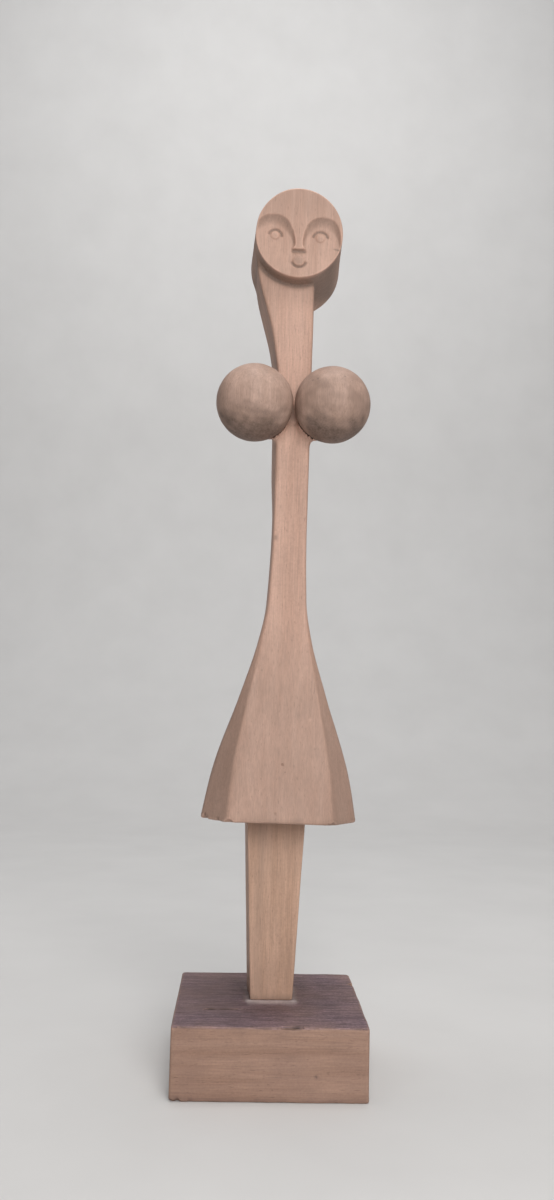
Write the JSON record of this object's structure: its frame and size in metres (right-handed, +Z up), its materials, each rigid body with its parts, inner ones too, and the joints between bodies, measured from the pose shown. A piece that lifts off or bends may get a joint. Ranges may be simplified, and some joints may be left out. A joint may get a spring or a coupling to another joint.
{
  "type": "carved wooden doll",
  "caption": "Slender carved wooden female doll with a round flat face, ball breasts and a faceted bell skirt, standing on a square block.",
  "frame": {"origin": "centre of the square block's underside, on the surface it stands on", "axes": "+Z up along the figure, the face looks along -Y, +X is towards the viewer's right"},
  "size_m": [0.0644, 0.0644, 0.3147],
  "materials": {
    "figure_wood": "bare pale hardwood, sanded, upright grain, slightly soiled",
    "ball_wood": "bare turned hardwood, browner and mottled with handling",
    "leg_wood": "bare pale hardwood, straight upright grain",
    "plinth_wood": "bare pale hardwood, grain across, weathered grey-brown top with saw marks",
    "peg_wood": "plain dowel",
    "screw_steel": "plain steel wood screw"
  },
  "bodies": {
    "root": {"plinth": "plinth_wood", "plinth_screw": "screw_steel", "leg_post": "leg_wood", "carved_figure": "figure_wood", "ball_left": "ball_wood", "ball_right": "ball_wood", "ball_peg_left": "peg_wood", "ball_peg_right": "peg_wood"}
  },
  "joints": []
}
